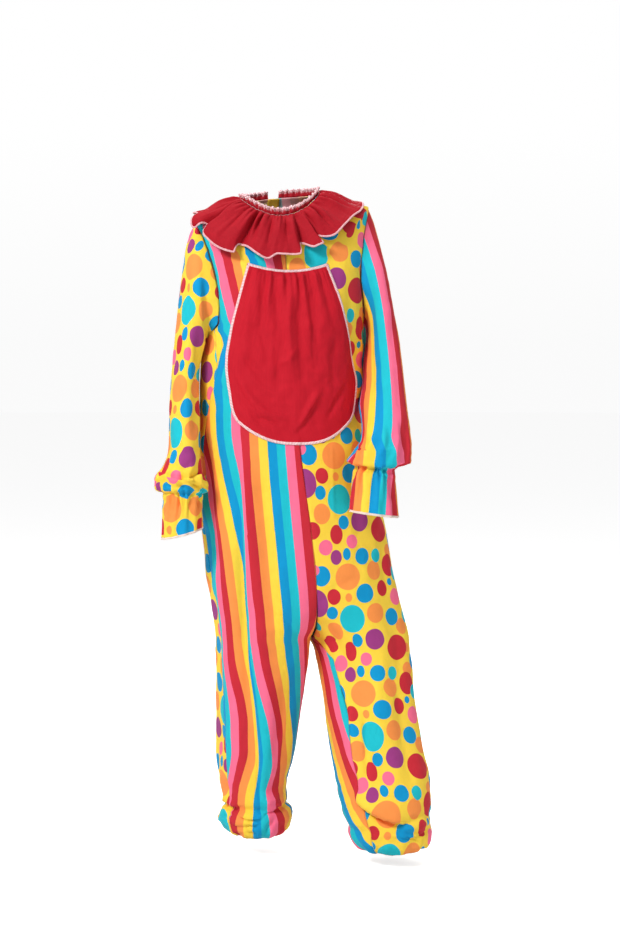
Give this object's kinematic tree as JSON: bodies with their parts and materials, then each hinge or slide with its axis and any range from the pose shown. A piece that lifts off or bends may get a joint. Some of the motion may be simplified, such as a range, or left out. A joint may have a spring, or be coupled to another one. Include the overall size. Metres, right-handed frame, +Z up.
{
  "type": "clown jumpsuit",
  "caption": "One-piece clown costume: loose long-sleeved suit in striped and spotted cloth, gathered ruff at the neck, oval red front panel, zip down the back.",
  "frame": {"origin": "the middle of the neck opening at the height of the side neck points, where the wearer's shoulders and neck hold the suit up", "axes": "+Z up along the worn suit, -Y out of its front, +X to the wearer's left"},
  "size_m": [0.5873, 0.355, 1.4195],
  "materials": {
    "stripe_cloth": "matte printed cloth, lengthwise stripes in six colours",
    "dot_cloth": "matte printed cloth, mixed spots on yellow",
    "red_cloth": "matte plain dark red cloth, edges overlocked in pale pink",
    "zip_tape": "woven zip tape with nylon coil",
    "zip_enamel": "yellow enamelled zinc"
  },
  "bodies": {
    "garment": {"front_right": "stripe_cloth", "front_left": "dot_cloth", "back_right": "dot_cloth", "back_left": "stripe_cloth", "sleeve_right": "dot_cloth", "sleeve_left": "stripe_cloth", "neck_flounce": "red_cloth", "neck_heading": "red_cloth", "tummy_patch": "red_cloth", "back_zip": "zip_tape", "zip_slider": "zip_enamel"},
    "pull_tab": {"pull_tab": "zip_enamel"}
  },
  "joints": [
    {"name": "pull_tab_hinge", "type": "hinge", "parent": "garment", "child": "pull_tab", "pos_m": [-0.002, 0.0762, 0.0056], "axis": [1, 0, 0], "range_deg": [0, 120]}
  ]
}
